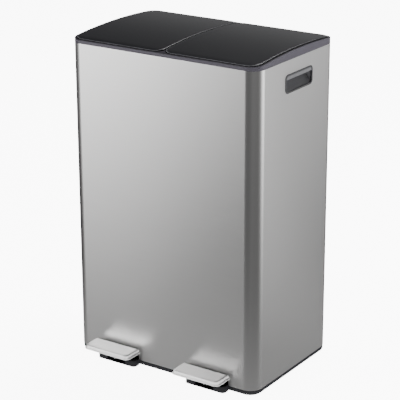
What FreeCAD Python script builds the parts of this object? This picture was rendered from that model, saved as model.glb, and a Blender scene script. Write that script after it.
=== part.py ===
import FreeCAD, Part
import math
import os

# Double recycling bin with two pedal-opened lids, in millimetres.
# X runs to the right, -Y is the front, Z is up. The origin is on the floor,
# at the centre of the body's footprint. Every paired piece is drawn on the
# right-hand side and mirrored in the plane X = 0 for the left-hand side.

# ---------------------------------------------------------------- driving sizes

# Steel body
body_width = 430.0
body_depth = 286.0
body_corner = 27.0
sheet = 0.7
shell_height = 638.0
base_height = 12.0

# Clearances
slip_gap = 0.3
running_gap = 0.05
lid_gap = 1.3
air_gap = 2.0

# Lids: the crown is one large arc from front to back
crown_rise = 18.7
crown_back_shift = 14.0
crown_radius = 1300.0
lid_seat_height = 5.0
lid_wall = 2.5
lid_inner_corner = 20.0
lid_back_relief = 4.8
front_roll = 10.5
back_roll = 7.5
lid_edge_land = 1.0
lid_edge_step = 0.3
liner_plate = 2.0
bumper_length = 30.0
bumper_thickness = 1.6
bumper_from_edge = 45.0
lid_screw_radius = 1.6
lid_screw_length = 5.0
lid_screw_inset = 24.0
liner_inset = 4.0
lid_cavity_inset = 9.0

# Top frame
rim_wall = 3.5
rim_below_lid = 2.6
frame_wall = 2.0
frame_skirt_depth = 24.0
ledge_thickness = 4.0
front_ledge = 8.5
side_ledge = 6.5
centre_web = 12.0
trough_depth = 61.0
trough_floor_drop = 36.0

# Hinges and cranks
lid_opening = 84.0
hinge_inset = 39.0
hinge_drop = 4.0
hinge_pin_radius = 1.75
hinge_knuckle_flat = 3.4
hinge_offset = 68.0
ear_thickness = 4.0
crank_pin_radius = 2.5
crank_eye_flat = 5.0
crank_arm_thickness = 3.0

# Pedal linkage
rod_travel = 22.6
rod_radius = 3.0
rod_end_width = 12.0
rod_foot_height = 24.0
rod_head_wall = 3.5
slot_play = 0.75
pivot_from_front = 83.0
pivot_height = 22.0
pivot_pin_radius = 3.0
link_pin_radius = 2.5
lever_width = 40.0
lever_sheet = 1.5
lever_top = 30.5
lever_front_reach = 45.0
lever_floor_gap = 2.3

# Pedals
pedal_width = 105.0
pedal_depth = 44.0
pedal_wall_gap = 6.0
pedal_top = 40.0
pedal_underside = 31.5
pedal_flange = 3.0
pedal_flange_thickness = 1.4
pedal_corner = 9.0
pedal_bevel = 3.2
pedal_sheet = 0.9
pedal_screw_radius = 2.0
pedal_screw_spacing = 24.0

# Base
base_inset = 0.4
base_wall = 2.2
base_floor = 2.5
base_upstand = 18.0
sole_height = 4.5
sole_inset = 3.0
nose_width = 93.0
nose_reach = 15.5
nose_height = 14.0
nose_corner = 8.0
guard_height = 36.0
guard_thickness = 2.5

# Lever carriers
carrier_width = 68.0
carrier_wall = 3.0
carrier_top = 56.0
carrier_shelf = 10.0
carrier_relief_inset = 22.0
carrier_relief_drop = 14.0
carrier_relief_slant = 8.0
carrier_relief_sill = 12.0
carrier_screw_radius = 1.75
screw_bite = 1.5

# Inner buckets
bucket_wall = 2.0
bucket_side_margin = 17.0
bucket_front_margin = 5.0
bucket_taper = 5.0
bucket_corner = 9.0
bucket_rim_drop = 8.0
bucket_rim_sheet = 2.5

# Rod channels, guides and dampers
channel_width = 48.0
channel_sheet = 1.0
channel_flange = 10.0
channel_bottom = 62.0
guide_height = 10.0
guide_heights = (110.0, 585.0)
damper_radius = 8.0
damper_length = 92.0
damper_bottom = 468.0
damper_rod_radius = 2.0
damper_bore = 60.0
damper_stem_entry = 34.0
yoke_drop = 44.0
yoke_height = 9.0

# Handle inserts
handle_width = 96.0
handle_height = 33.0
handle_corner = 7.0
handle_back_shift = 6.0
handle_below_top = 45.5
handle_depth = 22.0
handle_wall = 1.8
handle_bezel = 2.2
handle_bezel_proud = 0.9
handle_lip_drop = 7.0

# ---------------------------------------------------------------- derived places

side_x = body_width / 2
front_y = -body_depth / 2
back_y = body_depth / 2
lane_x = body_width / 4
shell_bottom = base_height
shell_top = shell_bottom + shell_height
crown_peak_y = crown_back_shift
crown_peak_z = shell_top + crown_rise
handle_centre_height = shell_top - handle_below_top
bucket_rim_top = shell_top - bucket_rim_drop

lid_bottom = shell_top + lid_seat_height
lid_front_y = front_y + rim_wall + lid_gap + 0.2
lid_back_y = back_y - rim_wall - lid_gap - 1.0
lid_side_x = side_x - rim_wall - lid_gap
lid_centre_x = lid_gap + slip_gap
lid_outer_corner = body_corner - rim_wall - lid_gap
ledge_z = lid_bottom - bumper_thickness - liner_plate / 2 - slip_gap
liner_underside = lid_bottom - liner_plate / 2

hinge_y = back_y - hinge_inset
hinge_z = liner_underside - hinge_drop
crank_half_swing = math.radians(lid_opening / 2)
crank_radius = rod_travel / (2 * math.sin(crank_half_swing))
crank_near = crank_radius * math.cos(crank_half_swing)
crank_play = (crank_radius - crank_near) / 2
crank_pin_y = hinge_y - crank_near
crank_pin_z = hinge_z - rod_travel / 2
rod_y = crank_pin_y - crank_play

mouth_front_y = front_y + rim_wall + front_ledge
trough_back_y = back_y - rim_wall
trough_front_y = trough_back_y - trough_depth
trough_floor_z = hinge_z - trough_floor_drop
mouth_back_y = trough_front_y - frame_wall
mouth_side_x = side_x - rim_wall - side_ledge
mouth_centre_x = centre_web / 2
mouth_corner = 18.0

shell_inner_x = side_x - sheet
shell_inner_front = front_y + sheet
shell_inner_back = back_y - sheet
plug_inset = sheet + slip_gap

pivot_y = front_y + pivot_from_front
pedal_back_y = front_y - pedal_wall_gap
pedal_front_y = pedal_back_y - pedal_depth
lever_front_y = front_y - lever_front_reach
lever_back_y = rod_y + link_pin_radius + 4.5
lever_swing = math.asin(rod_travel / (rod_y - pivot_y))

channel_back_y = shell_inner_back
channel_front_y = trough_front_y - 6.0
channel_top = trough_floor_z - frame_wall - air_gap
bucket_floor_z = carrier_top + slip_gap
bucket_back_y = channel_front_y - 3.0
damper_y = rod_y + rod_radius + damper_radius + 9.5
yoke_z = damper_bottom - yoke_drop
rod_foot_top = pivot_height + rod_foot_height / 2 + 4
rod_head_bottom = crank_pin_z - crank_pin_radius - slot_play - rod_head_wall - 4


# ---------------------------------------------------------------- shape helpers

def box(x0, x1, y0, y1, z0, z1):
    """A block between two corners."""
    return Part.makeBox(x1 - x0, y1 - y0, z1 - z0, FreeCAD.Vector(x0, y0, z0))


def rounded_wire(x0, x1, y0, y1, radii, z):
    """A closed rectangle at height z with round corners, given as one radius
    or as four: front left, front right, back right, back left."""
    if not isinstance(radii, tuple):
        radii = (radii,) * 4
    corners = ((x0, y0, 1, 1), (x1, y0, -1, 1), (x1, y1, -1, -1), (x0, y1, 1, -1))
    ends = []
    for (x, y, sx, sy), r in zip(corners, radii):
        along_x = FreeCAD.Vector(x + sx * r, y, z)
        along_y = FreeCAD.Vector(x, y + sy * r, z)
        bulge = r * (1 - math.sqrt(0.5))
        middle = FreeCAD.Vector(x + sx * bulge, y + sy * bulge, z)
        pair = (along_y, middle, along_x) if sx == sy else (along_x, middle, along_y)
        ends.append(pair)
    edges = []
    for i in range(4):
        start, middle, end = ends[i]
        edges.append(Part.Arc(start, middle, end).toShape())
        edges.append(Part.LineSegment(end, ends[(i + 1) % 4][0]).toShape())
    return Part.Wire(edges)


def rounded_plate(x0, x1, y0, y1, radii, z0, z1):
    """A plate of that outline from z0 up to z1."""
    face = Part.Face(rounded_wire(x0, x1, y0, y1, radii, z0))
    return face.extrude(FreeCAD.Vector(0, 0, z1 - z0))


def cut_corner_plate(x0, x1, y0, y1, radii, z0, z1):
    """The same plate with each round corner drawn as a straight cut at 45 degrees."""
    cuts = [r * (2 - math.sqrt(2)) for r in radii]
    corners = ((x0, y0, 1, 1), (x1, y0, -1, 1), (x1, y1, -1, -1), (x0, y1, 1, -1))
    ring = []
    for (x, y, sx, sy), cut in zip(corners, cuts):
        pair = [(x, y + sy * cut), (x + sx * cut, y)]
        ring += pair if sx == sy else pair[::-1]
    points = [FreeCAD.Vector(x, y, z0) for x, y in ring + ring[:1]]
    return Part.Face(Part.makePolygon(points)).extrude(FreeCAD.Vector(0, 0, z1 - z0))


def tapered_block(low, high):
    """A loft between two rounded rectangles, each (x0, x1, y0, y1, radius, z)."""
    return Part.makeLoft([rounded_wire(*low), rounded_wire(*high)], True, True)


def prism_along_x(points, x0, x1):
    """A side profile of (y, z) points, drawn straight, carried from x0 to x1."""
    ring = [FreeCAD.Vector(x0, y, z) for y, z in points + points[:1]]
    return Part.Face(Part.makePolygon(ring)).extrude(FreeCAD.Vector(x1 - x0, 0, 0))


def eye_profile(y, z, flat, stem_z):
    """Side profile of a pin's eye: half an octagon about (y, z) on a stem to stem_z."""
    k = 1 if stem_z < z else -1
    bevel = flat * math.tan(math.radians(22.5))
    return [(y - flat, stem_z), (y - flat, z + k * bevel), (y - bevel, z + k * flat),
            (y + bevel, z + k * flat), (y + flat, z + k * bevel), (y + flat, stem_z)]


def rod_along_x(y, z, radius, x0, x1):
    """A round bar lying along X."""
    return Part.makeCylinder(radius, x1 - x0, FreeCAD.Vector(x0, y, z), FreeCAD.Vector(1, 0, 0))


def rod_upright(x, y, radius, z0, z1):
    """A round bar standing along Z."""
    return Part.makeCylinder(radius, z1 - z0, FreeCAD.Vector(x, y, z0))


def hexagon(x, y, radius, z0, z1):
    """An upright hexagonal bar of that corner radius."""
    ring = [FreeCAD.Vector(x + radius * math.cos(math.radians(a)),
                           y + radius * math.sin(math.radians(a)), z0) for a in range(0, 361, 60)]
    return Part.Face(Part.makePolygon(ring)).extrude(FreeCAD.Vector(0, 0, z1 - z0))


def screw(x, y, radius, seat, tip):
    """A hex-head screw: its head rests on the seat height and its shank reaches the tip."""
    head_height = radius if tip < seat else -radius
    head = hexagon(x, y, 2 * radius, min(seat, seat + head_height), max(seat, seat + head_height))
    shank = hexagon(x, y, radius, min(seat, tip), max(seat, tip))
    return head.fuse(shank).removeSplitter()


def side_slot(y0, y1, z0, z1, x0, x1):
    """A slot with round ends along Y that runs through in X."""
    r = (z1 - z0) / 2
    z = z0 + r
    middle = box(x0, x1, y0 + r, y1 - r, z0, z1)
    return middle.fuse(rod_along_x(y0 + r, z, r, x0, x1)).fuse(rod_along_x(y1 - r, z, r, x0, x1))


def fused(shapes):
    """One solid from shapes that meet."""
    return shapes[0].multiFuse(shapes[1:]).removeSplitter()


def edges_at(shape, keep):
    """The edges whose box centre passes the test keep(x, y, z)."""
    return [e for e in shape.Edges if keep(*e.BoundBox.Center)]


def mirrored(shape):
    """The left-hand copy of a right-hand piece."""
    return shape.mirror(FreeCAD.Vector(0, 0, 0), FreeCAD.Vector(1, 0, 0))


def body_plate(inset, z0, z1):
    """A slab with the body's rounded outline, drawn in by an inset."""
    corner = body_corner - inset
    return rounded_plate(-side_x + inset, side_x - inset, front_y + inset, back_y - inset,
                         corner, z0, z1)


def crown_z(y, drop=0.0):
    """Height of the lid's crown at a depth y, lowered by drop."""
    radius = crown_radius - drop
    return crown_peak_z - crown_radius + math.sqrt(radius ** 2 - (y - crown_peak_y) ** 2)


def crown_arc(x, y0, y1, drop=0.0):
    """The crown as an arc from y0 to y1 in the plane at x."""
    points = [FreeCAD.Vector(x, y, crown_z(y, drop)) for y in (y0, (y0 + y1) / 2, y1)]
    return Part.Arc(*points).toShape()


def tangent_arc(start, direction, end):
    """The arc that leaves start along direction and reaches end."""
    chord = end.sub(start)
    normal = chord.sub(direction.multiply(chord.dot(direction)))
    normal.normalize()
    radius = chord.dot(chord) / (2 * chord.dot(normal))
    centre = start.add(FreeCAD.Vector(normal).multiply(radius))
    middle = chord.multiply(0.5).add(start).sub(centre)
    middle.normalize()
    return Part.Arc(start, centre.add(middle.multiply(abs(radius))), end).toShape()


# ---------------------------------------------------------------- steel body

def make_outer_shell():
    """Wrapped steel sheet with a window for each pedal lever and handle."""
    shell = body_plate(0, shell_bottom, shell_top).cut(body_plate(sheet, shell_bottom, shell_top))
    half = nose_width / 2 + slip_gap
    window = box(lane_x - half, lane_x + half, front_y - 1, shell_inner_front + 1,
                 shell_bottom, guard_height - 1)
    window = window.makeFillet(4.0, edges_at(
        window, lambda x, y, z: abs(z - guard_height + 1) < 0.1 and abs(abs(x - lane_x) - half) < 0.1))
    grip = handle_block(0.0, side_x - sheet - 1, side_x + 1)
    for cut in (window, mirrored(window), grip, mirrored(grip)):
        shell = shell.cut(cut)
    return shell


def handle_block(inset, x0, x1):
    """The handle opening's rounded rectangle, drawn in by inset, from x0 to x1."""
    half_y = handle_width / 2 - inset
    half_z = handle_height / 2 - inset
    block = box(x0, x1, handle_back_shift - half_y, handle_back_shift + half_y,
                handle_centre_height - half_z, handle_centre_height + half_z)
    along_x = edges_at(block, lambda x, y, z: abs(x - (x0 + x1) / 2) < 0.01)
    return block.makeFillet(handle_corner - inset, along_x)


# ---------------------------------------------------------------- base

def make_base():
    """Moulded tray on a set-back sole, with an upstand, two noses and lever guards."""
    sole = body_plate(base_inset + sole_inset, 0, sole_height)
    tray = body_plate(base_inset, sole_height, base_height)
    upstand = body_plate(plug_inset, base_height, base_height + base_upstand)
    hollow = body_plate(plug_inset + base_wall + sole_inset, base_floor, sole_height + base_floor)
    hollow = hollow.fuse(body_plate(plug_inset + base_wall, sole_height + base_floor,
                                    base_height + base_upstand))
    base = fused([sole, tray, upstand]).cut(hollow)
    nose = make_nose()
    base = fused([base, nose, mirrored(nose)])
    base = base.cut(lever_window()).cut(mirrored(lever_window()))
    holes = [hexagon(x, y, carrier_screw_radius, base_floor - screw_bite, base_floor)
             for x, y in carrier_screw_places()]
    return base.cut(Part.makeCompound(holes))


def make_nose():
    """The low nose under a pedal, and the guard behind the steel's window."""
    half = nose_width / 2
    behind = shell_inner_front + plug_inset + base_wall
    nose = rounded_plate(lane_x - half, lane_x + half, front_y - nose_reach, behind,
                         (nose_corner, nose_corner, 1.0, 1.0), 0, nose_height)
    guard = box(lane_x - half - 4, lane_x + half + 4, shell_inner_front + slip_gap,
                shell_inner_front + slip_gap + guard_thickness, base_floor, guard_height + 2)
    return fused([nose, guard])


def lever_window():
    """The space that the lever swings through at the front, over the nose's floor."""
    half = lever_width / 2 + air_gap
    inside = shell_inner_front + plug_inset + base_wall + guard_thickness
    return box(lane_x - half, lane_x + half, front_y - nose_reach - 1, inside,
               base_floor, guard_height - 2)


# ---------------------------------------------------------------- lever carrier

carrier_front_y = shell_inner_front + plug_inset + base_wall + sole_inset + 1.5
carrier_back_y = channel_front_y - 5


def carrier_screw_places():
    """Four screws on each side hold a carrier down on the base."""
    rows = (carrier_front_y + 14, carrier_back_y - 14)
    offset = carrier_width / 2 - carrier_wall - 5
    return [(side * (lane_x + k * offset), y) for side in (-1, 1) for k in (-1, 1) for y in rows]


def make_lever_carrier():
    """Moulded chassis: two walls that hold the pivot pin and carry the bucket."""
    half = carrier_width / 2
    far = half + carrier_shelf
    web = box(lane_x - half, lane_x + half, carrier_front_y, carrier_back_y,
              base_floor, base_floor + carrier_wall)
    parts = [web]
    for k in (-1, 1):
        outer = lane_x + k * half
        inner = outer - k * carrier_wall
        shelf = lane_x + k * far
        parts.append(box(min(outer, inner), max(outer, inner), carrier_front_y, carrier_back_y,
                         base_floor, carrier_top))
        parts.append(box(min(inner, shelf), max(inner, shelf), carrier_front_y, carrier_back_y,
                         carrier_top - carrier_wall, carrier_top))
        for y in (carrier_front_y, pivot_y + carrier_wall, carrier_back_y - carrier_wall):
            gusset = [(outer, base_floor + carrier_wall), (shelf, carrier_top - 1),
                      (outer, carrier_top - 1)]
            ring = [FreeCAD.Vector(x, y, z) for x, z in gusset + gusset[:1]]
            parts.append(Part.Face(Part.makePolygon(ring)).extrude(FreeCAD.Vector(0, carrier_wall, 0)))
    carrier = fused(parts)
    pin_hole = rod_along_x(pivot_y, pivot_height, pivot_pin_radius, lane_x - far, lane_x + far)
    relief_low = base_floor + carrier_relief_sill
    relief_high = carrier_top - carrier_relief_drop
    relief_front = pivot_y + carrier_relief_inset
    relief_back = carrier_back_y - carrier_relief_inset
    relief = prism_along_x([(relief_front, relief_high), (relief_front + carrier_relief_slant, relief_low),
                            (relief_back, relief_low), (relief_back + carrier_relief_slant, relief_high)],
                           lane_x - far, lane_x + far)
    carrier = carrier.cut(pin_hole).cut(relief)
    for x, y in carrier_screw_places():
        carrier = carrier.cut(hexagon(x, y, carrier_screw_radius, base_floor,
                                      base_floor + carrier_wall))
    return carrier


def make_carrier_screws():
    """Screws that hold both carriers to the base."""
    seat = base_floor + carrier_wall
    return Part.makeCompound([screw(x, y, carrier_screw_radius, seat, base_floor - screw_bite)
                              for x, y in carrier_screw_places()])


def make_pivot_pin():
    """Steel pin across a carrier, on which the lever turns."""
    half = carrier_width / 2 + 1.5
    return rod_along_x(pivot_y, pivot_height, pivot_pin_radius, lane_x - half, lane_x + half)


# ---------------------------------------------------------------- pedal and lever

def lever_underside(y):
    """Lowest height of the lever's flanges at depth y, clear of the base floor when pressed."""
    return base_floor + lever_floor_gap + max(0.0, (pivot_y - y) * math.sin(lever_swing))


def make_pedal_lever():
    """Folded steel channel: web on top, two flanges that taper to the front."""
    half = lever_width / 2
    low = pivot_height - pivot_pin_radius - 5
    fold_y = front_y - nose_reach
    outline = [(lever_front_y, lever_underside(lever_front_y) + 1), (fold_y, lever_underside(fold_y)),
               (pivot_y - 30, low), (lever_back_y, low), (lever_back_y, lever_top),
               (lever_front_y, lever_top)]
    lever = prism_along_x(outline, lane_x - half, lane_x + half)
    inside = box(lane_x - half + lever_sheet, lane_x + half - lever_sheet, lever_front_y,
                 lever_back_y, 0, lever_top - lever_sheet)
    rod_notch = box(lane_x - rod_end_width / 2 - air_gap, lane_x + rod_end_width / 2 + air_gap,
                    rod_y - 14, lever_back_y + 1, lever_top - lever_sheet - 1, lever_top + 1)
    lever = lever.cut(inside).cut(rod_notch)
    turning = pivot_pin_radius + running_gap
    lever = lever.cut(rod_along_x(pivot_y, pivot_height, turning, lane_x - half, lane_x + half))
    lever = lever.cut(rod_along_x(rod_y, pivot_height, link_pin_radius, lane_x - half, lane_x + half))
    for x, y in pedal_screw_places():
        lever = lever.cut(hexagon(x, y, pedal_screw_radius, lever_top - lever_sheet, lever_top))
    return lever


def make_link_pin():
    """Cross pin at the back of the lever that lifts the rod's foot."""
    half = lever_width / 2 + 1
    return rod_along_x(rod_y, pivot_height, link_pin_radius, lane_x - half, lane_x + half)


def pedal_screw_places():
    """Two screws join the tread to the lever's web."""
    y = (pedal_back_y + pedal_front_y) / 2
    return [(lane_x + k * pedal_screw_spacing / 2, y) for k in (-1, 1)]


def pedal_core():
    """What fills the cap: a block to the foot of the bevel and a smaller one above it."""
    half = pedal_width / 2 - pedal_sheet
    y0 = pedal_front_y + pedal_sheet
    y1 = pedal_back_y - pedal_sheet
    step_z = pedal_top - pedal_sheet - pedal_bevel
    block = rounded_plate(lane_x - half, lane_x + half, y0, y1, pedal_corner - pedal_sheet,
                          pedal_underside, step_z)
    crown = cut_corner_plate(lane_x - half + pedal_bevel, lane_x + half - pedal_bevel,
                             y0 + pedal_bevel, y1 - pedal_bevel, (pedal_corner - pedal_bevel,) * 4,
                             step_z - 1, pedal_top - pedal_sheet)
    return fused([block, crown])


def make_pedal_cap():
    """Pressed steel cap: bevelled plateau on a thin flange, open below."""
    half = pedal_width / 2
    plateau = rounded_plate(lane_x - half, lane_x + half, pedal_front_y, pedal_back_y, pedal_corner,
                            pedal_underside, pedal_top)
    plateau = plateau.makeChamfer(pedal_bevel, [e for e in plateau.Edges
                                                if e.BoundBox.ZMin > pedal_top - 0.01])
    half += pedal_flange
    flange = rounded_plate(lane_x - half, lane_x + half, pedal_front_y - pedal_flange / 2,
                           pedal_back_y, pedal_corner, pedal_underside,
                           pedal_underside + pedal_flange_thickness)
    return fused([plateau, flange]).cut(pedal_core())


def make_pedal_tread():
    """Plastic core that holds the cap up and seats on the lever's web."""
    half = lever_width / 2 - 1
    seat = box(lane_x - half, lane_x + half, lever_front_y + 2, pedal_back_y - pedal_sheet - 1,
               lever_top, pedal_underside)
    tread = fused([pedal_core(), seat])
    for x, y in pedal_screw_places():
        tread = tread.cut(hexagon(x, y, pedal_screw_radius, lever_top, pedal_top - 3))
    return tread


def make_pedal_screws():
    """Screws up through the web into the tread, their heads under the web."""
    return Part.makeCompound([screw(x, y, pedal_screw_radius, lever_top - lever_sheet, pedal_top - 3)
                              for x, y in pedal_screw_places()])


# ---------------------------------------------------------------- push rod

def make_push_rod():
    """Steel rod that carries the lever's lift up to the lid's crank."""
    return rod_upright(lane_x, rod_y, rod_radius, rod_foot_top, rod_head_bottom)


def make_rod_foot():
    """Moulded foot on the rod's lower end: a slot takes the link pin."""
    half = rod_end_width / 2
    reach = link_pin_radius + 5.5
    foot = box(lane_x - half, lane_x + half, rod_y - reach, rod_y + reach,
               pivot_height - link_pin_radius - 4, rod_foot_top)
    foot = foot.makeChamfer(2.5, edges_at(foot, lambda x, y, z: abs(x - lane_x) < 0.01))
    arc_drift = (rod_y - pivot_y) * (1 - math.cos(lever_swing))
    play = slot_play / 2
    slot = side_slot(rod_y - link_pin_radius - arc_drift - play, rod_y + link_pin_radius + play,
                     pivot_height - link_pin_radius - play, pivot_height + link_pin_radius + play,
                     lane_x - half, lane_x + half)
    return foot.cut(slot)


def make_rod_head():
    """Moulded head on the rod's upper end: a slot in which the lid's crank pin slides."""
    half = rod_end_width / 2
    slide = crank_play + slot_play
    height = crank_pin_radius + slot_play
    reach = slide + crank_pin_radius + rod_head_wall
    head = box(lane_x - half, lane_x + half, rod_y - reach, rod_y + reach,
               rod_head_bottom, crank_pin_z + height + rod_head_wall)
    head = head.makeChamfer(3.0, edges_at(head, lambda x, y, z: abs(x - lane_x) < 0.01))
    slot = side_slot(rod_y - slide - crank_pin_radius, rod_y + slide + crank_pin_radius,
                     crank_pin_z - height, crank_pin_z + height, lane_x - half, lane_x + half)
    return head.cut(slot)


# ---------------------------------------------------------------- channel, guides, damper

def make_rod_channel():
    """Folded cover behind a bucket, open at the back, with two flanges on the steel."""
    half = channel_width / 2
    outer = box(lane_x - half, lane_x + half, channel_front_y, channel_back_y,
                channel_bottom, channel_top)
    inner = box(lane_x - half + channel_sheet, lane_x + half - channel_sheet,
                channel_front_y + channel_sheet, channel_back_y, channel_bottom, channel_top)
    flange = box(lane_x - half - channel_flange, lane_x + half + channel_flange,
                 channel_back_y - channel_sheet, channel_back_y, channel_bottom, channel_top)
    return fused([outer, flange]).cut(inner)


def make_rod_guides():
    """Moulded guides in each channel; the rod slides in their holes."""
    half = channel_width / 2 - channel_sheet
    guides = []
    for z in guide_heights:
        block = box(lane_x - half, lane_x + half, channel_front_y + channel_sheet,
                    rod_y + rod_radius + 5, z, z + guide_height)
        block = block.makeChamfer(4.0, edges_at(
            block, lambda x, y, z0: y > rod_y and abs(abs(x - lane_x) - half) < 0.01
            and abs(z0 - z - guide_height / 2) < 0.01))
        block = block.cut(rod_upright(lane_x, rod_y, rod_radius + running_gap, z, z + guide_height))
        guides += [block, mirrored(block)]
    return Part.makeCompound(guides)


def make_damper_cylinder():
    """Soft-close cylinder with its foot on the back panel; the stem enters from below."""
    top = damper_bottom + damper_length
    tube = rod_upright(lane_x, damper_y, damper_radius, damper_bottom, top)
    foot = box(lane_x - damper_radius - 4, lane_x + damper_radius + 4, damper_y + damper_radius / 2,
               shell_inner_back, damper_bottom + 12, top - 12)
    bore = rod_upright(lane_x, damper_y, damper_rod_radius + running_gap, damper_bottom,
                       damper_bottom + damper_bore)
    return fused([tube, foot]).cut(bore)


def make_damper_piston():
    """Thin stem between the yoke and the inside of the damper's cylinder."""
    return rod_upright(lane_x, damper_y, damper_rod_radius, yoke_z + yoke_height,
                       damper_bottom + damper_stem_entry)


def make_damper_yoke():
    """Block clamped on the push rod that carries the damper's stem."""
    half = rod_end_width / 2 + 1
    yoke = box(lane_x - half, lane_x + half, rod_y - rod_radius - 3.5,
               damper_y + damper_rod_radius + 3.5, yoke_z, yoke_z + yoke_height)
    corners = edges_at(yoke, lambda x, y, z: abs(z - yoke_z - yoke_height / 2) < 0.01)
    yoke = yoke.makeChamfer(3.0, corners)
    return yoke.cut(rod_upright(lane_x, rod_y, rod_radius, yoke_z, yoke_z + yoke_height))


# ---------------------------------------------------------------- inner bucket

bucket_front_y = mouth_front_y + bucket_front_margin
bucket_centre_x = mouth_centre_x + bucket_front_margin + 3
bucket_side_x = mouth_side_x - bucket_side_margin
bucket_rim_bottom = bucket_rim_top - bucket_rim_sheet


def bucket_level(inset, taper, z):
    """The bucket's outline at one level, for a loft."""
    return (bucket_centre_x + inset + taper, bucket_side_x - inset - taper,
            bucket_front_y + inset + taper, bucket_back_y - inset - taper,
            bucket_corner - inset, z)


def make_bucket():
    """Lift-out liner: tapered walls under a wide flat rim."""
    outside = tapered_block(bucket_level(0, bucket_taper, bucket_floor_z),
                            bucket_level(0, 0, bucket_rim_top))
    inside = tapered_block(bucket_level(bucket_wall, bucket_taper, bucket_floor_z + bucket_wall),
                           bucket_level(bucket_wall, 0, bucket_rim_top))
    rim = rounded_plate(mouth_centre_x + air_gap, mouth_side_x - air_gap, mouth_front_y + air_gap,
                        mouth_back_y - air_gap, mouth_corner - air_gap, bucket_rim_bottom,
                        bucket_rim_top)
    return fused([outside, rim]).cut(inside)


# ---------------------------------------------------------------- top frame

def rim_blank():
    """The frame's visible ring, its top following the lids' crown."""
    y0 = front_y - 1
    y1 = back_y + 1
    arc = crown_arc(-side_x, y0, y1, rim_below_lid)
    low0 = FreeCAD.Vector(-side_x, y0, shell_top)
    low1 = FreeCAD.Vector(-side_x, y1, shell_top)
    sides = [Part.LineSegment(low0, FreeCAD.Vector(-side_x, y0, crown_z(y0, rim_below_lid))).toShape(),
             arc,
             Part.LineSegment(FreeCAD.Vector(-side_x, y1, crown_z(y1, rim_below_lid)), low1).toShape(),
             Part.LineSegment(low1, low0).toShape()]
    bar = Part.Face(Part.Wire(sides)).extrude(FreeCAD.Vector(body_width, 0, 0))
    return bar.common(body_plate(0, shell_top, crown_peak_z))


def lid_outline(grow):
    """The right lid's plan outline, grown by a gap: x0, x1, y0, y1 and its four radii."""
    inner = lid_inner_corner + grow
    outer = lid_outer_corner + grow
    return (lid_centre_x - grow, lid_side_x + grow, lid_front_y - grow, lid_back_y + grow,
            (inner, outer, outer + lid_back_relief, inner + lid_back_relief))


def recess_outline():
    """The recess round the right lid; its back corners leave room for the lid to swing."""
    x0, x1, y0, y1, radii = lid_outline(lid_gap)
    inner, outer = radii[:2]
    return x0, x1, y0, y1, (inner, outer, outer, inner)


def make_top_frame():
    """Rim, lid recesses, bucket mouths, hinge troughs and lugs."""
    ledge_bottom = shell_top - ledge_thickness
    skirt_bottom = shell_top - frame_skirt_depth
    trough_bottom = trough_floor_z - frame_wall
    skirt = body_plate(plug_inset, skirt_bottom, ledge_bottom).cut(
        body_plate(plug_inset + frame_wall, skirt_bottom, ledge_bottom))
    tub = body_plate(plug_inset, trough_bottom, shell_top).common(
        box(-side_x, side_x, trough_front_y - frame_wall, back_y, trough_bottom, shell_top))
    frame = fused([rim_blank(), body_plate(plug_inset, ledge_bottom, shell_top), skirt, tub])
    recess = rounded_plate(*recess_outline(), ledge_z, crown_peak_z + 1)
    corner_span = lid_inner_corner - 2
    centre_strip = box(-lid_centre_x, lid_centre_x, lid_front_y + corner_span,
                       lid_back_y - corner_span, ledge_z, crown_peak_z + 1)
    trough_strip = box(-lid_centre_x, lid_centre_x, trough_front_y, lid_back_y - corner_span,
                       trough_floor_z, crown_peak_z)
    mouth = rounded_plate(mouth_centre_x, mouth_side_x, mouth_front_y, mouth_back_y, mouth_corner,
                          skirt_bottom, crown_peak_z)
    trough = box(0, side_x, trough_front_y, back_y, trough_floor_z, crown_peak_z)
    trough = trough.common(rounded_plate(*recess_outline(), trough_floor_z, crown_peak_z + 1))
    rod_way = box(lane_x - channel_width / 3, lane_x + channel_width / 3, trough_front_y,
                  rod_y + rod_radius + 8, trough_bottom, trough_floor_z)
    for cut in (recess, mouth, trough, rod_way):
        frame = frame.cut(cut).cut(mirrored(cut))
    lugs = make_hinge_lugs()
    frame = fused([frame.cut(centre_strip).cut(trough_strip), lugs, mirrored(lugs)])
    bore = rod_along_x(hinge_y, hinge_z, hinge_pin_radius, mouth_centre_x, lid_side_x)
    return frame.cut(bore).cut(mirrored(bore))


def make_hinge_lugs():
    """Upright lugs in the trough, in pairs, with a bevelled top about the hinge axis."""
    lugs = []
    for centre in (lane_x - hinge_offset, lane_x + hinge_offset):
        for k in (-1, 1):
            near = centre + k * (ear_thickness / 2 + slip_gap)
            far = near + k * ear_thickness
            lugs.append(prism_along_x(eye_profile(hinge_y, hinge_z, hinge_knuckle_flat,
                                                  trough_floor_z - 0.5), min(near, far), max(near, far)))
    return Part.makeCompound(lugs)


def make_hinge_pins():
    """Short steel pins, one through each pair of lugs."""
    reach = ear_thickness * 1.5 + slip_gap
    pins = [rod_along_x(hinge_y, hinge_z, hinge_pin_radius, side * lane_x + k * hinge_offset - reach,
                        side * lane_x + k * hinge_offset + reach)
            for side in (-1, 1) for k in (-1, 1)]
    return Part.makeCompound(pins)


# ---------------------------------------------------------------- lid

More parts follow.
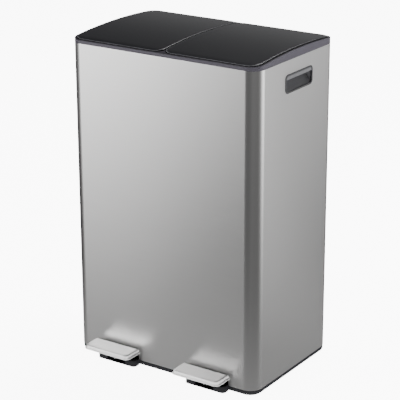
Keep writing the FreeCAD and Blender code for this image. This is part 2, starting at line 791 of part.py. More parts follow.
def lid_blank():
    """A solid under the crowned top; its front and back edges roll down to a narrow step."""
    x0, x1, y0, y1, radii = lid_outline(0)
    land_z = lid_bottom + lid_edge_land
    roll_front = y0 + front_roll
    roll_back = y1 - back_roll
    start = FreeCAD.Vector(x0, roll_front, crown_z(roll_front))
    finish = FreeCAD.Vector(x0, roll_back, crown_z(roll_back))
    slope_front = (roll_front - crown_peak_y) / crown_radius
    slope_back = (roll_back - crown_peak_y) / crown_radius
    to_front = FreeCAD.Vector(0, -math.cos(slope_front), math.sin(slope_front))
    to_back = FreeCAD.Vector(0, math.cos(slope_back), -math.sin(slope_back))
    low_front = FreeCAD.Vector(x0, y0 + lid_edge_step, land_z)
    low_back = FreeCAD.Vector(x0, y1 - lid_edge_step, land_z)
    corners = [low_back] + [FreeCAD.Vector(x0, y, z) for y, z in
                            ((y1 + 1, land_z), (y1 + 1, lid_bottom), (y0 - 1, lid_bottom),
                             (y0 - 1, land_z))] + [low_front]
    edges = [crown_arc(x0, roll_front, roll_back), tangent_arc(finish, to_back, low_back)]
    edges += [Part.LineSegment(a, b).toShape() for a, b in zip(corners, corners[1:])]
    edges.append(tangent_arc(start, to_front, low_front))
    bar = Part.Face(Part.Wire(Part.__sortEdges__(edges))).extrude(FreeCAD.Vector(x1 - x0, 0, 0))
    return bar.common(rounded_plate(x0, x1, y0, y1, radii, lid_bottom, crown_peak_z + 1))


def lid_cavity():
    """The space between lid and liner: straight walls under the crown less the lid's wall."""
    step = cut_corner_plate(*lid_outline(-liner_inset), lid_bottom, lid_bottom + liner_plate / 2)
    x0, x1, y0, y1, radii = lid_outline(-lid_cavity_inset)
    arc = crown_arc(x0, y0, y1, lid_wall)
    low0 = FreeCAD.Vector(x0, y0, lid_bottom)
    low1 = FreeCAD.Vector(x0, y1, lid_bottom)
    edges = [arc, Part.LineSegment(arc.valueAt(arc.LastParameter), low1).toShape(),
             Part.LineSegment(low1, low0).toShape(),
             Part.LineSegment(low0, arc.valueAt(arc.FirstParameter)).toShape()]
    bar = Part.Face(Part.Wire(Part.__sortEdges__(edges))).extrude(FreeCAD.Vector(x1 - x0, 0, 0))
    hollow = bar.common(cut_corner_plate(x0, x1, y0, y1, radii, lid_bottom, crown_peak_z))
    return fused([hollow, step])


def lid_screw_places():
    """Four screws hold the liner under the lid."""
    xs = (lid_centre_x + lid_screw_inset, lid_side_x - lid_screw_inset)
    ys = (lid_front_y + lid_screw_inset, hinge_y - lid_screw_inset)
    return [(x, y) for x in xs for y in ys]


def make_lid():
    """Crowned outer moulding, hollow underneath, with four screw bosses."""
    bosses = []
    for x, y in lid_screw_places():
        top = crown_z(y) - lid_wall + slip_gap
        bosses.append(hexagon(x, y, lid_screw_radius + 2, lid_bottom + liner_plate / 2, top))
    lid = fused([lid_blank().cut(lid_cavity())] + bosses)
    for x, y in lid_screw_places():
        lid = lid.cut(hexagon(x, y, lid_screw_radius, lid_bottom, liner_underside + lid_screw_length))
    return lid


def make_lid_liner():
    """Inner panel with two hinge ears and the two crank arms."""
    x0, x1, y0, y1, radii = lid_outline(-liner_inset - slip_gap)
    parts = [cut_corner_plate(x0, x1, y0, y1, radii, liner_underside, liner_underside + liner_plate)]
    root_z = liner_underside + 1
    for centre in (lane_x - hinge_offset, lane_x + hinge_offset):
        parts.append(prism_along_x(eye_profile(hinge_y, hinge_z, hinge_knuckle_flat, root_z),
                                   centre - ear_thickness / 2, centre + ear_thickness / 2))
    arm = eye_profile(crank_pin_y, crank_pin_z, crank_eye_flat, root_z)
    arm[-1] = (hinge_y + 1, root_z)
    for k in (-1, 1):
        inner = lane_x + k * (rod_end_width / 2 + 1)
        outer = inner + k * crank_arm_thickness
        parts.append(prism_along_x(arm, min(inner, outer), max(inner, outer)))
    liner = fused(parts)
    reach = rod_end_width / 2 + 1 + crank_arm_thickness
    liner = liner.cut(rod_along_x(crank_pin_y, crank_pin_z, crank_pin_radius, lane_x - reach,
                                  lane_x + reach))
    liner = liner.cut(rod_along_x(hinge_y, hinge_z, hinge_pin_radius + running_gap, x0, x1))
    for x, y in lid_screw_places():
        liner = liner.cut(hexagon(x, y, lid_screw_radius, liner_underside,
                                  liner_underside + liner_plate))
    return liner


def make_crank_pin():
    """Steel pin between the crank arms, caught in the rod head's slot."""
    reach = rod_end_width / 2 + 1 + crank_arm_thickness + 1
    return rod_along_x(crank_pin_y, crank_pin_z, crank_pin_radius, lane_x - reach, lane_x + reach)


def make_lid_screws():
    """Screws up through the liner into the lid's bosses."""
    return Part.makeCompound([screw(x, y, lid_screw_radius, liner_underside,
                                    liner_underside + lid_screw_length)
                              for x, y in lid_screw_places()])


def make_lid_bumpers():
    """Rubber strips under the liner that land on the frame's front ledge."""
    y0 = lid_front_y + liner_inset + 2 * slip_gap
    y1 = mouth_front_y - slip_gap
    return Part.makeCompound([box(x - bumper_length / 2, x + bumper_length / 2, y0, y1,
                                  liner_underside - bumper_thickness, liner_underside)
                              for x in (lid_centre_x + bumper_from_edge,
                                        lid_side_x - bumper_from_edge)])


# ---------------------------------------------------------------- handle insert

def make_handle_insert():
    """Moulded pocket: thin bezel, grip lip at the top and a sloping back."""
    depth_x = side_x - handle_depth
    half_y = handle_width / 2
    half_z = handle_height / 2
    outer = box(depth_x, shell_inner_x - slip_gap,
                handle_back_shift - half_y - handle_wall, handle_back_shift + half_y + handle_wall,
                handle_centre_height - half_z - handle_wall, handle_centre_height + half_z + handle_wall)
    throat = handle_block(slip_gap, shell_inner_x - slip_gap, side_x)
    bezel = handle_block(-handle_bezel, side_x, side_x + handle_bezel_proud)
    body = fused([outer, throat, bezel])
    low = handle_centre_height - half_z + handle_wall
    high = handle_centre_height + half_z - handle_wall
    mouth_x = side_x + handle_bezel_proud + 1
    slope = [(mouth_x, low), (side_x - 2, low), (depth_x + handle_wall, high - 6),
             (depth_x + handle_wall, high + handle_wall), (side_x - handle_wall - 4, high + handle_wall),
             (side_x - handle_wall - 3, high - handle_lip_drop), (mouth_x, high - handle_lip_drop)]
    y0 = handle_back_shift - half_y + handle_wall
    ring = [FreeCAD.Vector(x, y0, z) for x, z in slope + slope[:1]]
    pocket = Part.Face(Part.makePolygon(ring)).extrude(FreeCAD.Vector(0, handle_width - 2 * handle_wall, 0))
    return body.cut(pocket)


# ---------------------------------------------------------------- write the pieces

singles = {
    "outer_shell": make_outer_shell,
    "base": make_base,
    "top_frame": make_top_frame,
    "hinge_pins": make_hinge_pins,
    "rod_guides": make_rod_guides,
    "carrier_screws": make_carrier_screws,
}

pairs = {
    "handle_insert": make_handle_insert,
    "lever_carrier": make_lever_carrier,
    "pivot_pin": make_pivot_pin,
    "rod_channel": make_rod_channel,
    "damper_cylinder": make_damper_cylinder,
    "bucket": make_bucket,
    "pedal_cap": make_pedal_cap,
    "pedal_tread": make_pedal_tread,
    "pedal_lever": make_pedal_lever,
    "pedal_screws": make_pedal_screws,
    "link_pin": make_link_pin,
    "push_rod": make_push_rod,
    "rod_foot": make_rod_foot,
    "rod_head": make_rod_head,
    "damper_piston": make_damper_piston,
    "damper_yoke": make_damper_yoke,
    "lid": make_lid,
    "lid_liner": make_lid_liner,
    "lid_screws": make_lid_screws,
    "lid_bumpers": make_lid_bumpers,
    "crank_pin": make_crank_pin,
}

os.makedirs("parts", exist_ok=True)
for name, make in singles.items():
    make().exportStep(f"parts/{name}.step")
for name, make in pairs.items():
    right = make()
    right.exportStep(f"parts/{name}_right.step")
    mirrored(right).exportStep(f"parts/{name}_left.step")

print("hinge axis y, z", round(hinge_y, 3), round(hinge_z, 3))
print("pivot axis y, z", round(pivot_y, 3), round(pivot_height, 3))
print("lid opening", lid_opening, "lever swing", round(math.degrees(lever_swing), 4))
print("rod travel", rod_travel, "rod y", round(rod_y, 3), "crank radius", round(crank_radius, 3))
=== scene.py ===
import math

import bpy
import numpy as np
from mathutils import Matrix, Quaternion, Vector


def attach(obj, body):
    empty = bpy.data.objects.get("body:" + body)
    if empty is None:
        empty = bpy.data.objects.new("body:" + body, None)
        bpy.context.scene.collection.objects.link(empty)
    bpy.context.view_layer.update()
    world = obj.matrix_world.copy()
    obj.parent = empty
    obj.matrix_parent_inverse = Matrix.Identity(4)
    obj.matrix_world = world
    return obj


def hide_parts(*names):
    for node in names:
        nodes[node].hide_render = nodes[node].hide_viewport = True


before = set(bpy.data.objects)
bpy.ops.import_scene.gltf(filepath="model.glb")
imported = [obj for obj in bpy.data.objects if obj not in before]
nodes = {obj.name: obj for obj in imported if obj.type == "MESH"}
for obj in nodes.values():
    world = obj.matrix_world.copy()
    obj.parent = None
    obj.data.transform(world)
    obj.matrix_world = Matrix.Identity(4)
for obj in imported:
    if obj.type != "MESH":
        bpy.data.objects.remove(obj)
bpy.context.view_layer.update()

# ---------------------------------------------------------------- steel body
# One sheet of stainless steel, 0.7 mm thick, wrapped round four wide corners and brushed level.
# Two windows at the front let the pedal levers out, and a hand hole is cut in each side.

BODY_WIDTH, BODY_DEPTH, BODY_CORNER = 430.0, 286.0, 27.0
STEEL_LOW, STEEL_TOP, SHEET = 12.0, 650.0, 0.7
HEM_RADIUS, HEM_DROP, HEM_TURN = 0.6, 0.52, 60.0
PEDAL_X = 107.5
WINDOW_HALF, WINDOW_TOP = 46.8, 35.0
HOLE_Y, HOLE_HALF_Y, HOLE_Z, HOLE_HALF_Z = 6.0, 47.0, 604.5, 15.5
FRONT_BAND, SIDE_BAND = -140.0, 214.0
SPREAD_TURN = 0.25
ROUGHNESS_SWING = 0.12


def rounded_outline(x0, x1, y0, y1, radii, marks_x=(), marks_y=(), per_corner=22, per_side=9):
    """Points and outward normals of a rectangle with round corners, anticlockwise from the front:
    a corner is centre + r (cos a, sin a), and a side is a straight run split at its marks."""
    fl, fr, br, bl = radii if isinstance(radii, tuple) else (radii,) * 4
    turns = ((x1 - fr, y0 + fr, fr, -90), (x1 - br, y1 - br, br, 0),
             (x0 + bl, y1 - bl, bl, 90), (x0 + fl, y0 + fl, fl, 180))
    points, normals = [], []
    for k, (cx, cy, r, start) in enumerate(turns):
        a = np.radians(np.linspace(start, start + 90, per_corner))
        n = np.stack([np.cos(a), np.sin(a)], 1)
        points.append(np.array([[cx, cy]]) + r * n)
        normals.append(n)
        nx, ny, nr, _ = turns[(k + 1) % 4]
        side_normal = n[-1]
        begin = points[-1][-1]
        end = np.array([nx, ny]) + nr * side_normal
        axis = 1 if k in (0, 2) else 0
        marks = [m for m in (marks_y if axis else marks_x)
                 if min(begin[axis], end[axis]) < m < max(begin[axis], end[axis])]
        shares = np.linspace(0, 1, per_side)[1:-1]
        shares = np.concatenate([shares, (np.array(marks) - begin[axis]) / (end[axis] - begin[axis])])
        shares = np.unique(np.round(shares, 6))[:, None]
        points.append(begin + (end - begin) * shares)
        normals.append(np.repeat(side_normal[None], len(shares), 0))
    return np.concatenate(points), np.concatenate(normals)


def swept(outline, profile):
    """Rings of a profile carried round an outline: each (t, z) of the profile gives the ring
    outline - t * normal at height z."""
    points, normals = outline
    t = np.array([row[0] for row in profile])[:, None, None]
    z = np.array([row[1] for row in profile])[:, None]
    flat = points[None] - t * normals[None]
    return np.concatenate([flat, np.broadcast_to(z[:, :, None], flat.shape[:2] + (1,))], 2)


def ring_faces(rings, columns, keep=None, closed=True):
    """Quads between neighbouring rings; a keep mask leaves windows open."""
    v, u = np.meshgrid(np.arange(rings - 1), np.arange(columns if closed else columns - 1),
                       indexing="ij")
    right = (u + 1) % columns
    quads = np.stack([v * columns + u, v * columns + right, (v + 1) * columns + right,
                      (v + 1) * columns + u], 2)
    return quads[keep] if keep is not None else quads.reshape(-1, 4)


def piece(name, rings, body, node=None, keep=None, start="open", end="open", flip=False,
          sharp=32.0, rings_more=()):
    """A mesh in metres from rings in millimetres. Each end is left open, closed by a flat face
    or by a fan to the ring's middle."""
    verts, faces = [], []
    for part in (rings,) + tuple(rings_more):
        base = sum(len(v) for v in verts)
        rows, columns = part.shape[:2]
        verts.append(part.reshape(-1, 3))
        faces += (ring_faces(rows, columns, keep) + base).tolist()
        low = list(range(base, base + columns))
        high = list(range(base + (rows - 1) * columns, base + rows * columns))
        if start == "flat":
            faces.append(low[::-1])
        if end == "flat":
            faces.append(high)
        if end == "fan":
            verts.append(part[-1].mean(0)[None])
            tip = base + rows * columns
            faces += [(high[i], high[(i + 1) % columns], tip) for i in range(columns)]
    if flip:
        faces = [tuple(f)[::-1] for f in faces]
    mesh = bpy.data.meshes.new(name)
    mesh.from_pydata((np.concatenate(verts) * 0.001).tolist(), [], faces)
    mesh.update()
    mesh.shade_smooth()
    mesh.set_sharp_from_angle(angle=math.radians(sharp))
    obj = bpy.data.objects.new(name, mesh)
    bpy.context.scene.collection.objects.link(obj)
    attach(obj, body)
    if node:
        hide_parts(node)
    return obj


class Value:
    """A socket of a material's node tree. Arithmetic on it adds Math nodes."""

    def __init__(self, tree, socket):
        self.tree = tree
        self.socket = socket

    def node(self, kind, settings=None, inputs=None, output=0):
        """Any node: its settings are set first, then its inputs by value or by link."""
        new = self.tree.nodes.new(kind)
        for key, value in (settings or {}).items():
            if key == "stops":
                ramp = new.color_ramp
                while len(ramp.elements) < len(value):
                    ramp.elements.new(0.5)
                for element, (place, shade) in zip(ramp.elements, value):
                    element.position = place
                    element.color = (shade, shade, shade, 1) if isinstance(shade, float) else shade
            else:
                setattr(new, key, value)
        for key, value in (inputs or {}).items():
            if isinstance(value, Value):
                self.tree.links.new(value.socket, new.inputs[key])
            else:
                new.inputs[key].default_value = value
        return Value(self.tree, new.outputs[output])

    def maths(self, operation, a, b):
        return self.node("ShaderNodeMath", {"operation": operation}, {0: a, 1: b})

    def __add__(self, other):
        return self.maths("ADD", self, other)

    def __radd__(self, other):
        return self.maths("ADD", other, self)

    def __sub__(self, other):
        return self.maths("SUBTRACT", self, other)

    def __rsub__(self, other):
        return self.maths("SUBTRACT", other, self)

    def __mul__(self, other):
        return self.maths("MULTIPLY", self, other)

    def to(self, node, key):
        self.tree.links.new(self.socket, node.inputs[key])


def finish(name, color, roughness, metallic=0.0, anisotropic=0.0, specular=0.5):
    """A new material: returns it, its shader node and its Object coordinates. A quarter turn of
    the anisotropy spreads highlights up and down, across a level grain."""
    material = bpy.data.materials.new(name)
    material.use_nodes = True
    tree = material.node_tree
    shader = tree.nodes["Principled BSDF"]
    shader.inputs["Base Color"].default_value = tuple(color) + (1,)
    shader.inputs["Roughness"].default_value = roughness
    shader.inputs["Metallic"].default_value = metallic
    shader.inputs["Anisotropic"].default_value = anisotropic
    shader.inputs["Anisotropic Rotation"].default_value = SPREAD_TURN
    shader.inputs["Specular IOR Level"].default_value = specular
    coordinates = tree.nodes.new("ShaderNodeTexCoord")
    return material, shader, Value(tree, coordinates.outputs["Object"])


def brushed(name, color, roughness, anisotropic, along, across, depth, metallic=1.0):
    """Brushed metal: streaks are noise drawn out level, fine across and long along the grain."""
    material, shader, place = finish(name, color, roughness, metallic, anisotropic)
    drawn = place.node("ShaderNodeMapping", inputs={"Vector": place, "Scale": (along, along, across)})
    finer = place.node("ShaderNodeMapping", inputs={
        "Vector": place, "Scale": (along * 3, along * 3, across * 4)})
    streak = place.node("ShaderNodeTexNoise", inputs={
        "Vector": drawn, "Scale": 1.0, "Detail": 5.0, "Roughness": 0.65})
    fine = place.node("ShaderNodeTexNoise", inputs={
        "Vector": finer, "Scale": 1.0, "Detail": 2.0, "Roughness": 0.5})
    mark = streak * 0.65 + fine * 0.35
    (roughness - ROUGHNESS_SWING / 2 + mark * ROUGHNESS_SWING).to(shader, "Roughness")
    dark = tuple(c * 0.93 for c in color) + (1,)
    light = tuple(c * 1.05 for c in color) + (1,)
    shade = place.node("ShaderNodeMix", {"data_type": "RGBA"}, {"Factor": mark, 6: dark, 7: light},
                       output=2)
    shade.to(shader, "Base Color")
    bump = place.node("ShaderNodeBump", inputs={"Strength": depth, "Distance": 0.0002, "Height": mark})
    bump.to(shader, "Normal")
    return material


def dress(obj, material):
    """Gives an object one material in place of those it has."""
    obj.data.materials.clear()
    obj.data.materials.append(material)
    return obj


body_steel = brushed("brushed steel", (0.74, 0.735, 0.73), roughness=0.30, anisotropic=0.80,
                     along=9.0, across=1400.0, depth=0.05)
outline = rounded_outline(-BODY_WIDTH / 2, BODY_WIDTH / 2, -BODY_DEPTH / 2, BODY_DEPTH / 2, BODY_CORNER,
                          marks_x=[s * PEDAL_X + k * WINDOW_HALF for s in (-1, 1) for k in (-1, 1)],
                          marks_y=[HOLE_Y - HOLE_HALF_Y, HOLE_Y + HOLE_HALF_Y], per_corner=40)
hem = np.radians(np.linspace(0, HEM_TURN, 6))
levels = [(0.0, STEEL_LOW), (0.0, WINDOW_TOP), (0.0, 200.0), (0.0, 400.0), (0.0, HOLE_Z - HOLE_HALF_Z),
          (0.0, HOLE_Z + HOLE_HALF_Z), (0.0, 635.0)]
levels += [(HEM_RADIUS * (1 - math.cos(a)), STEEL_TOP - HEM_DROP + HEM_RADIUS * math.sin(a)) for a in hem]
rings = swept(outline, levels)
# A face is left out where its middle is in a window, on the front band, or in a hand hole, on a side.
middle = (rings[:-1, :, :] + np.roll(rings, -1, 1)[1:, :, :]) / 2
mx, my, mz = middle[..., 0], middle[..., 1], middle[..., 2]
in_window = (my < FRONT_BAND) & (mz < WINDOW_TOP) & (abs(abs(mx) - PEDAL_X) < WINDOW_HALF)
in_hole = (abs(mx) > SIDE_BAND) & (abs(my - HOLE_Y) < HOLE_HALF_Y) & (abs(mz - HOLE_Z) < HOLE_HALF_Z)
shell = piece("steel_body", rings, "bin", "outer_shell", keep=~(in_window | in_hole))
wall = shell.modifiers.new("sheet", "SOLIDIFY")
wall.thickness = SHEET * 0.001
wall.offset = -1
weigh = shell.modifiers.new("shade", "WEIGHTED_NORMAL")
weigh.weight = 90
dress(shell, body_steel)

# ---------------------------------------------------------------- base tray
# Black moulded tray that the steel stands on, with a rounded lower edge. Two low noses reach
# out under the pedals, and a guard closes each window behind the steel, open where the lever is.

LANE_HALF, TRAY_FLOOR, LANE_BACK_Y = 22.0, 2.6, -120.0
NOSE_HALF, NOSE_FRONT, NOSE_BACK, NOSE_HIGH, NOSE_CORNER = 46.5, -158.5, -141.0, 14.0, 8.0
SILL_HALF, SILL_FRONT = 23.0, -158.4
GUARD_HALF, GUARD_FRONT, GUARD_BACK = 50.5, -142.0, -139.5
GUARD_LOW, GUARD_OPEN, GUARD_HIGH = 2.5, 34.0, 38.0
CORNER_STEPS, SOLE_EDGE = 6, 0.8


def softened(corners):
    """A profile whose corners are rounded: each corner (t, z, r) becomes a curve that leaves and
    meets the straight runs r away from it, as a quadratic blend of the three points."""
    rows = []
    for i, (t, z, r) in enumerate(corners):
        here = np.array([t, z])
        if r == 0 or i in (0, len(corners) - 1):
            rows.append((t, z))
            continue
        before = np.array(corners[i - 1][:2])
        after = np.array(corners[i + 1][:2])
        enter = here + (before - here) / np.linalg.norm(before - here) * r
        leave = here + (after - here) / np.linalg.norm(after - here) * r
        for s in np.linspace(0, 1, CORNER_STEPS):
            rows.append(tuple((1 - s) ** 2 * enter + 2 * s * (1 - s) * here + s * s * leave))
    return rows


def slab(x0, x1, y0, y1, radii, z0, z1, edge):
    """Rings of a plate with round corners and softened upper and lower edges."""
    low_edge = min(edge, SOLE_EDGE)
    rows = softened([(low_edge + 1.5, z0, 0), (0, z0, low_edge), (0, z1, edge), (edge + 1.5, z1, 0)])
    return swept(rounded_outline(x0, x1, y0, y1, radii, per_corner=10, per_side=3), rows)


def speckled(name, color, roughness, specular=0.5):
    """Moulded plastic: a fine matt grain is a noise bump, with a faint unevenness in the gloss."""
    material, shader, place = finish(name, color, roughness, specular=specular)
    grit = place.node("ShaderNodeTexNoise", inputs={"Vector": place, "Scale": 2600.0, "Detail": 2.0})
    cloud = place.node("ShaderNodeTexNoise", inputs={"Vector": place, "Scale": 9.0, "Detail": 3.0})
    (roughness - 0.02 + cloud * 0.04).to(shader, "Roughness")
    bump = place.node("ShaderNodeBump", inputs={"Strength": 0.25, "Distance": 0.00004, "Height": grit})
    bump.to(shader, "Normal")
    return material


base_black = speckled("base plastic", (0.005, 0.005, 0.006), 0.45, specular=0.2)
tray_rows = softened([(20.0, 1.6, 0), (9.0, 1.6, 0.8), (8.0, 0.0, 0.6), (5.6, 0.0, 1.2),
                      (0.5, 3.6, 3.2), (0.4, 11.95, 0.5), (1.0, 12.0, 0), (1.0, 30.0, 0),
                      (3.2, 30.0, 0), (3.2, 2.6, 0), (20.0, 2.6, 0)])
lane_marks = [s * PEDAL_X + k * w for s in (-1, 1) for k in (-1, 1) for w in (LANE_HALF, LANE_HALF - 0.02)]
tray = swept(rounded_outline(-BODY_WIDTH / 2, BODY_WIDTH / 2, -BODY_DEPTH / 2, BODY_DEPTH / 2,
                             BODY_CORNER, marks_x=lane_marks, per_corner=30), tray_rows)
# Where the lever passes, the wall of the tray comes down to its floor.
in_lane = (tray[..., 1] < LANE_BACK_Y) & (abs(abs(tray[..., 0]) - PEDAL_X) < LANE_HALF - 0.01)
tray[..., 2] = np.where(in_lane, np.minimum(tray[..., 2], TRAY_FLOOR), tray[..., 2])
noses = []
for side in (-1, 1):
    x = side * PEDAL_X
    noses.append(slab(x - NOSE_HALF, x - LANE_HALF, NOSE_FRONT, NOSE_BACK,
                      (NOSE_CORNER, 1.5, 1.0, 1.0), 0.0, NOSE_HIGH, 2.2))
    noses.append(slab(x + LANE_HALF, x + NOSE_HALF, NOSE_FRONT, NOSE_BACK,
                      (1.5, NOSE_CORNER, 1.0, 1.0), 0.0, NOSE_HIGH, 2.2))
    noses.append(slab(x - SILL_HALF, x + SILL_HALF, SILL_FRONT, NOSE_BACK, 0.8, 0.0, TRAY_FLOOR, 0.6))
    guard = (GUARD_FRONT, GUARD_BACK, 0.3)
    noses.append(slab(x - GUARD_HALF, x - LANE_HALF, *guard, GUARD_LOW, GUARD_HIGH, 0.3))
    noses.append(slab(x + LANE_HALF, x + GUARD_HALF, *guard, GUARD_LOW, GUARD_HIGH, 0.3))
    noses.append(slab(x - LANE_HALF - 0.1, x + LANE_HALF + 0.1, *guard, GUARD_OPEN, GUARD_HIGH, 0.3))
base = piece("base_tray", tray, "bin", "base", start="flat", end="flat", rings_more=noses)
dress(base, base_black)

# ---------------------------------------------------------------- top frame
# Grey moulded rim that sits in the top of the steel. It carries both lids in shallow
# recesses, with the hinge trough behind them and the two mouths above the buckets.

rim_grey = speckled("rim plastic", (0.017, 0.015, 0.021), 0.42, specular=0.35)
dress(nodes["top_frame"], rim_grey)

# ---------------------------------------------------------------- lids
# Two charcoal lids, moulded with a low crown from front to back and rolled down at both ends.
# A narrow lip runs round each; it is coloured a lighter grey as a painted highlight, and the wall under it
# near-black as painted shade. Each has a flat liner screwed to its underside, which turns on pins.

CROWN_TOP, CROWN_RADIUS, CROWN_Y = 668.7, 1300.0, 14.0
LID_IN, LID_OUT, LID_FRONT, LID_BACK, LID_LOW = 1.6, 210.2, -138.0, 137.2, 655.0
FRONT_ROLL, BACK_ROLL, LIP_WIDE, LIP_DROP = 13.0, 8.0, 1.5, 0.35
END_DROP, STEP_WIDE = 0.8, 0.4
LID_INNER_CORNER, LID_OUTER_CORNER, BACK_CORNER_EXTRA = 20.0, 22.2, 4.8
LIP_PROFILE = [(0.0, 0.9), (0.12, 0.5), (0.35, 0.2), (0.6, 0.05), (0.9, 0.0), (LIP_WIDE, 0.0)]
ROLL_INSETS = [2.7, 3.6, 4.6, 5.8, 7.0, 8.2, 9.4, 10.6, 11.8, 12.8]
HEART_RINGS = 14
CHARCOAL, LIP_HIGHLIGHT, SHADED_EDGE = 0, 1, 2


def crown(y):
    """Height of the crown: an arc of the crown's radius about its peak line."""
    return CROWN_TOP - CROWN_RADIUS + np.sqrt(CROWN_RADIUS ** 2 - (y - CROWN_Y) ** 2)


def end_fall(y):
    """How far the surface has rolled down near the front and back edges: the square of the
    distance gone into each roll."""
    front = np.clip((LID_FRONT + FRONT_ROLL - y) / (FRONT_ROLL - LIP_WIDE), 0, 1.2)
    back = np.clip((y - LID_BACK + BACK_ROLL) / (BACK_ROLL - LIP_WIDE), 0, 1.2)
    return END_DROP * (front ** 2 + back ** 2)


lid_charcoal = speckled("lid plastic", (0.010, 0.010, 0.012), 0.30, specular=0.42)
# The lip's lighter grey is a painted highlight: the light that catches the lid's edge.
lip_painted_highlight = speckled("lid lip plastic", (0.10, 0.10, 0.11), 0.38)
# The near-black edge is painted shade: the shadow in the gap between lid and rim.
lid_edge_painted_shade = speckled("lid edge plastic", (0.004, 0.004, 0.005), 0.55, specular=0.2)
inner, outer, inner_back, outer_back = (
    LID_INNER_CORNER, LID_OUTER_CORNER, LID_INNER_CORNER + BACK_CORNER_EXTRA,
    LID_OUTER_CORNER + BACK_CORNER_EXTRA)
lid_plans = (("left", -LID_OUT, -LID_IN, (outer, inner, inner_back, outer_back)),
             ("right", LID_IN, LID_OUT, (inner, outer, outer_back, inner_back)))
for word, x0, x1, corners in lid_plans:
    lid_outline = rounded_outline(x0, x1, LID_FRONT, LID_BACK, corners, per_corner=24, per_side=34)
    insets = [t for t, _ in LIP_PROFILE] + [LIP_WIDE + STEP_WIDE * k for k in (0.35, 1.0)] + ROLL_INSETS
    top = swept(lid_outline, [(t, 0.0) for t in insets])
    heart = top[-1].mean(0)
    shrink = (1 - np.linspace(0.08, 0.96, HEART_RINGS))[:, None, None]
    top = np.concatenate([top, heart + (top[-1] - heart) * shrink])
    drop = [LIP_DROP + d for _, d in LIP_PROFILE] + [LIP_DROP * 0.45]
    drop += [0.0] * (len(top) - len(drop))
    top[..., 2] = crown(top[..., 1]) - end_fall(top[..., 1]) - np.array(drop)[:, None]
    under = swept(lid_outline, [(4.0, LID_LOW + 1.2), (4.0, LID_LOW + 0.2), (3.8, LID_LOW),
                                (0.25, LID_LOW), (0.0, LID_LOW + 0.25)])
    lid = piece(word + "_lid_shell", np.concatenate([under, top]), word + "_lid", "lid_" + word,
                start="flat", end="fan", sharp=38.0)
    dress(lid, lid_charcoal)
    lid.data.materials.append(lip_painted_highlight)
    lid.data.materials.append(lid_edge_painted_shade)
    # The rows of faces go from the underside over the lip to the crown. The underside, the outer wall and
    # the outer edge of the lip are near-black, painted shade for the gap round the lid; the rest of the lip
    # is lighter grey, a painted highlight.
    around = len(lid_outline[0])
    row = np.arange(len(lid.data.polygons)) // around
    on_lip_highlight = row < len(under) + len(LIP_PROFILE) - 1
    marks = np.where(row < len(under) + 2, SHADED_EDGE, np.where(on_lip_highlight, LIP_HIGHLIGHT, CHARCOAL))
    lid.data.polygons.foreach_set("material_index", marks.astype(np.int32))

# ---------------------------------------------------------------- pedals
# Two pressed steel pedal caps with a rolled edge and a narrow flange, brushed from side to
# side. Each sits on a moulded tread that is screwed to the end of its lever.

CAP_HALF, CAP_FRONT, CAP_BACK, CAP_LOW, CAP_TOP = 52.5, -193.0, -149.0, 31.5, 40.0
CAP_CORNER, CAP_ROLL, FLANGE_SIDE, FLANGE_FRONT, FLANGE_TOP = 9.0, 3.2, 3.0, 1.5, 32.9
pedal_steel = brushed("pedal steel", (0.86, 0.855, 0.85), roughness=0.40, anisotropic=0.0, along=20.0,
                      across=600.0, depth=0.08, metallic=0.65)
for side, word in ((-1, "left"), (1, "right")):
    x = side * PEDAL_X
    points, normals = rounded_outline(x - CAP_HALF, x + CAP_HALF, CAP_FRONT, CAP_BACK,
                                      (CAP_CORNER, CAP_CORNER, 2.0, 2.0), per_corner=20, per_side=8)
    spread = FLANGE_SIDE * normals[:, 0] ** 2 + FLANGE_FRONT * np.maximum(-normals[:, 1], 0) ** 2
    spread = spread[:, None] * normals
    roll = np.radians(np.linspace(0, 90, 9))
    rows = [(1.0, 0.0, CAP_LOW), (1.0, 0.0, FLANGE_TOP - 0.35), (0.85, 0.0, FLANGE_TOP),
            (0.12, 0.0, FLANGE_TOP), (0.0, 0.0, FLANGE_TOP + 0.3)]
    rows += [(0.0, CAP_ROLL * (1 - math.cos(a)), CAP_TOP - CAP_ROLL * (1 - math.sin(a))) for a in roll]
    rows += [(0.0, CAP_ROLL + 1.5, CAP_TOP)]
    cap = np.array([np.column_stack([points - t * normals + w * spread, np.full(len(points), z)])
                    for w, t, z in rows])
    cap_piece = piece(word + "_pedal_plate", cap, word + "_pedal", "pedal_cap_" + word,
                      start="flat", end="flat", sharp=40.0)
    dress(cap_piece, pedal_steel)

# ---------------------------------------------------------------- hand holds
# A dark moulded cup is pressed into each side. Fingers go over its sloping floor and up behind
# the grip lip, and its rounded bezel covers the cut edge of the steel.

